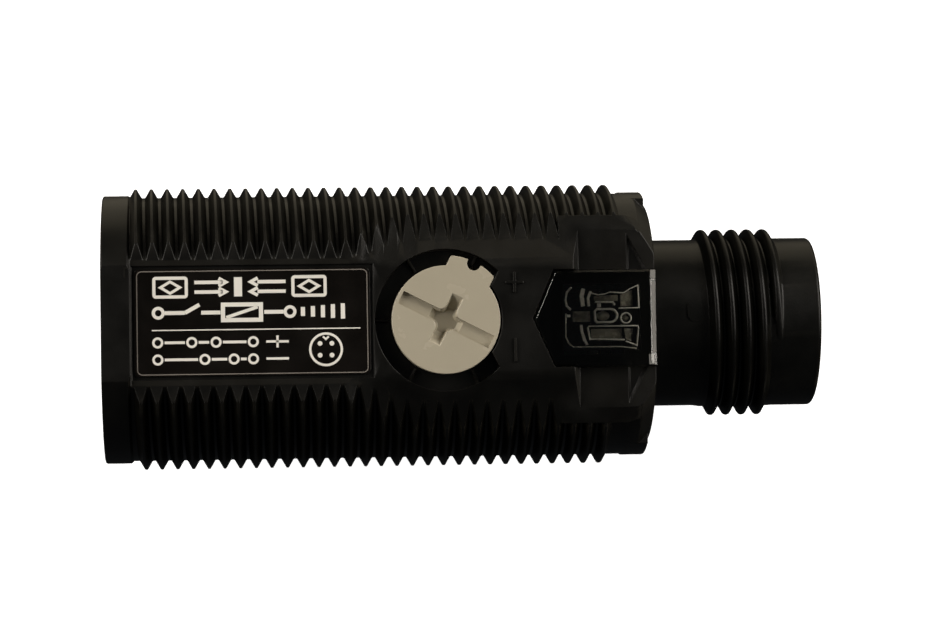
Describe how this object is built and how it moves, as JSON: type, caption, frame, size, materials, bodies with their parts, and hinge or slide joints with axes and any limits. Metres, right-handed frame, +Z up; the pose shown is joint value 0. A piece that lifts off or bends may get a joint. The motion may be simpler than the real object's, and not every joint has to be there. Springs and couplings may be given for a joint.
{
  "type": "photoelectric sensor",
  "caption": "Cylindrical threaded-barrel photoelectric sensor with a flat control face, turning sensitivity dial, indicator window and threaded round plug.",
  "frame": {"origin": "centre of the front optical face, on the axis of the barrel", "axes": "+X along the barrel from the front face to the plug, +Z out of the flat control face, +Y to the left when looking along +X with +Z up"},
  "size_m": [0.0454, 0.018, 0.0168],
  "materials": {
    "barrel_plastic": "fine satin, moulded",
    "plug_plastic": "fine satin, moulded",
    "lens_acrylic": "polished",
    "label_film": "satin film with pale print",
    "window_acrylic": "polished",
    "dial_plastic": "soft gloss, moulded",
    "seal_rubber": "matte",
    "inner_plastic": "matte",
    "board_laminate": "solder mask",
    "diode_resin": "dark clear resin",
    "tinned_steel": "bright tinned",
    "gold_contact": "gold plated",
    "chip_resin": "moulded epoxy",
    "ceramic_parts": "fired ceramic",
    "trimmer_plastic": "moulded",
    "rotor_plastic": "moulded",
    "orange_lamp": "clear resin",
    "green_lamp": "clear resin",
    "guide_acrylic": "polished",
    "wire_brown": "soft sleeve",
    "wire_white": "soft sleeve",
    "wire_blue": "soft sleeve",
    "wire_black": "soft sleeve"
  },
  "bodies": {
    "sensor_body": {"housing": "barrel_plastic", "connector_body": "plug_plastic", "front_lens": "lens_acrylic", "nameplate": "label_film", "indicator_window": "window_acrylic", "lens_seal": "seal_rubber", "connector_seal": "seal_rubber", "lens_holder": "inner_plastic", "receiver_board": "board_laminate", "photodiode": "diode_resin", "shield_can": "tinned_steel", "board_link": "gold_contact", "main_board": "board_laminate", "board_carrier": "inner_plastic", "asic_chip": "chip_resin", "output_transistor": "chip_resin", "smd_parts": "ceramic_parts", "potentiometer_base": "trimmer_plastic", "led_operation": "orange_lamp", "led_stability": "green_lamp", "light_guide": "guide_acrylic", "connector_insert": "inner_plastic", "contact_pin_1": "gold_contact", "contact_pin_2": "gold_contact", "contact_pin_3": "gold_contact", "contact_pin_4": "gold_contact", "lead_wire_1": "wire_brown", "lead_wire_2": "wire_white", "lead_wire_3": "wire_blue", "lead_wire_4": "wire_black"},
    "adjuster": {"adjuster_dial": "dial_plastic", "dial_seal": "seal_rubber", "potentiometer_rotor": "rotor_plastic"}
  },
  "joints": [
    {"name": "adjuster_turn", "type": "hinge", "parent": "sensor_body", "child": "adjuster", "pos_m": [0.0214, 0, 0.00745], "axis": [0, 0, 1], "range_deg": [0, 234.6]}
  ]
}
